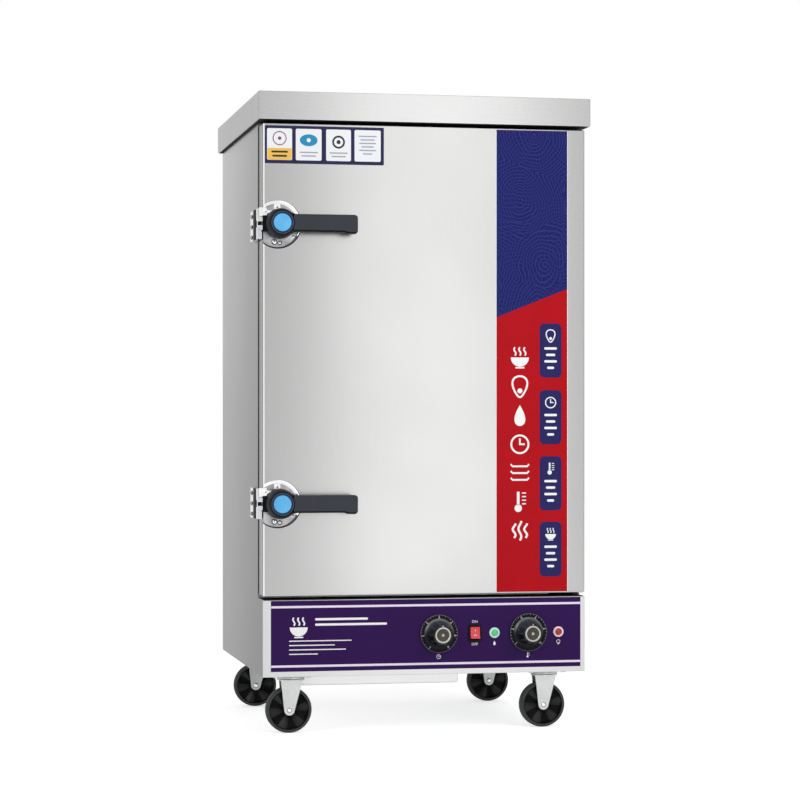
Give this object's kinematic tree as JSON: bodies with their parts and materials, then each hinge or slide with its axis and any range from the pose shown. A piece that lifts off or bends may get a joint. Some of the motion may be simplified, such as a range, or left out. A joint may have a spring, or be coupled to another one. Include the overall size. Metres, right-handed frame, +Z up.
{
  "type": "steamer cabinet",
  "caption": "Upright stainless steam cabinet on casters: insulated side-hung door with lever latches, tray racks over a heated water tank, and a dial panel in the base.",
  "frame": {"origin": "floor level under the middle of the cabinet's overall box, casters included", "axes": "+Z up, -Y towards the user at the door, +X to the user's right, the door's hinge side"},
  "size_m": [0.7015, 0.7438, 1.32],
  "materials": {
    "brushed_stainless": "brushed",
    "liner_stainless": "satin",
    "zinc_plated": "zinc plated",
    "chrome": "polished",
    "brass": "satin",
    "heater_sheath": "heat-tinted satin",
    "black_plastic": "satin",
    "blue_plastic": "satin",
    "gasket_rubber": "matte",
    "wheel_plastic": "matte",
    "insulation_foam": "rigid foam",
    "red_plastic": "gloss",
    "green_lens": "gloss",
    "red_lens": "gloss",
    "switchgear_plastic": "matte"
  },
  "bodies": {
    "cabinet": {"top_cover": "brushed_stainless", "side_panel_left": "brushed_stainless", "side_panel_right": "brushed_stainless", "back_panel": "brushed_stainless", "front_frame": "brushed_stainless", "chamber_liner": "liner_stainless", "water_tank": "liner_stainless", "chamber_insulation": "insulation_foam", "tray_rack_left": "liner_stainless", "tray_rack_right": "liner_stainless", "immersion_heater": "heater_sheath", "float_valve_body": "brass", "base_pan": "zinc_plated", "bottom_pan": "brushed_stainless", "control_panel": "brushed_stainless", "timer_unit": "switchgear_plastic", "thermostat_unit": "switchgear_plastic", "rocker_housing": "black_plastic", "contactor": "switchgear_plastic", "pilot_lamp_green": "green_lens", "pilot_lamp_red": "red_lens", "cable_gland": "black_plastic", "water_inlet_fitting": "brass", "vent_pipe": "brushed_stainless", "drain_valve_body": "brass", "hinge_bracket_top": "zinc_plated", "hinge_bracket_bottom": "zinc_plated", "keeper_upper": "chrome", "keeper_lower": "chrome", "caster_plate_front_left": "zinc_plated", "caster_plate_front_right": "zinc_plated", "caster_plate_rear_left": "zinc_plated", "caster_plate_rear_right": "zinc_plated"},
    "door": {"door_skin": "brushed_stainless", "door_inner_pan": "brushed_stainless", "door_core": "insulation_foam", "door_gasket": "gasket_rubber", "latch_base_upper": "chrome", "latch_base_lower": "chrome"},
    "latch_upper": {"latch_claw_upper": "chrome", "latch_lever_upper": "black_plastic", "latch_cap_upper": "blue_plastic"},
    "latch_lower": {"latch_claw_lower": "chrome", "latch_lever_lower": "black_plastic", "latch_cap_lower": "blue_plastic"},
    "timer_dial": {"timer_knob": "black_plastic", "timer_knob_cap": "chrome"},
    "thermostat_dial": {"thermostat_knob": "black_plastic", "thermostat_knob_cap": "chrome"},
    "rocker": {"rocker_switch": "red_plastic"},
    "drain_handle": {"drain_valve_handle": "blue_plastic"},
    "float": {"float_arm": "brass"},
    "swivel_front_left": {"caster_fork_front_left": "zinc_plated"},
    "wheel_front_left": {"caster_wheel_front_left": "wheel_plastic"},
    "swivel_front_right": {"caster_fork_front_right": "zinc_plated"},
    "wheel_front_right": {"caster_wheel_front_right": "wheel_plastic"},
    "swivel_rear_left": {"caster_fork_rear_left": "zinc_plated"},
    "wheel_rear_left": {"caster_wheel_rear_left": "wheel_plastic"},
    "swivel_rear_right": {"caster_fork_rear_right": "zinc_plated"},
    "wheel_rear_right": {"caster_wheel_rear_right": "wheel_plastic"}
  },
  "joints": [
    {"name": "door_swing", "type": "hinge", "parent": "cabinet", "child": "door", "pos_m": [0.327, -0.2861, 0.7715], "axis": [0, 0, 1], "range_deg": [0, 110]},
    {"name": "latch_upper_turn", "type": "hinge", "parent": "door", "child": "latch_upper", "pos_m": [-0.306, -0.3374, 1.049], "axis": [0, -1, 0], "range_deg": [0, 90]},
    {"name": "latch_lower_turn", "type": "hinge", "parent": "door", "child": "latch_lower", "pos_m": [-0.306, -0.3374, 0.4775], "axis": [0, -1, 0], "range_deg": [0, 90]},
    {"name": "timer_turn", "type": "hinge", "parent": "cabinet", "child": "timer_dial", "pos_m": [0.027, -0.3241, 0.2065], "axis": [0, 1, 0], "range_deg": [0, 300]},
    {"name": "thermostat_turn", "type": "hinge", "parent": "cabinet", "child": "thermostat_dial", "pos_m": [0.2173, -0.3241, 0.2065], "axis": [0, 1, 0], "range_deg": [0, 270]},
    {"name": "rocker_tip", "type": "hinge", "parent": "cabinet", "child": "rocker", "pos_m": [0.1035, -0.3261, 0.2065], "axis": [1, 0, 0], "range_deg": [0, 18]},
    {"name": "drain_handle_turn", "type": "hinge", "parent": "cabinet", "child": "drain_handle", "pos_m": [0.16, 0.3489, 0.2482], "axis": [0, 0, -1], "range_deg": [0, 90]},
    {"name": "float_swing", "type": "hinge", "parent": "cabinet", "child": "float", "pos_m": [-0.208, 0.1619, 0.294], "axis": [0, -1, 0], "range_deg": [0, 10]},
    {"name": "caster_front_left_swivel", "type": "hinge", "parent": "cabinet", "child": "swivel_front_left", "pos_m": [-0.271, -0.2491, 0.11], "axis": [0, 0, 1], "continuous": true},
    {"name": "caster_front_left_roll", "type": "hinge", "parent": "swivel_front_left", "child": "wheel_front_left", "pos_m": [-0.276, -0.2491, 0.048], "axis": [0, 1, 0], "continuous": true},
    {"name": "caster_front_right_swivel", "type": "hinge", "parent": "cabinet", "child": "swivel_front_right", "pos_m": [0.271, -0.2491, 0.11], "axis": [0, 0, 1], "continuous": true},
    {"name": "caster_front_right_roll", "type": "hinge", "parent": "swivel_front_right", "child": "wheel_front_right", "pos_m": [0.266, -0.2491, 0.048], "axis": [0, 1, 0], "continuous": true},
    {"name": "caster_rear_left_swivel", "type": "hinge", "parent": "cabinet", "child": "swivel_rear_left", "pos_m": [-0.271, 0.2509, 0.11], "axis": [0, 0, 1], "continuous": true},
    {"name": "caster_rear_left_roll", "type": "hinge", "parent": "swivel_rear_left", "child": "wheel_rear_left", "pos_m": [-0.276, 0.2509, 0.048], "axis": [0, 1, 0], "continuous": true},
    {"name": "caster_rear_right_swivel", "type": "hinge", "parent": "cabinet", "child": "swivel_rear_right", "pos_m": [0.271, 0.2509, 0.11], "axis": [0, 0, 1], "continuous": true},
    {"name": "caster_rear_right_roll", "type": "hinge", "parent": "swivel_rear_right", "child": "wheel_rear_right", "pos_m": [0.266, 0.2509, 0.048], "axis": [0, 1, 0], "continuous": true}
  ]
}
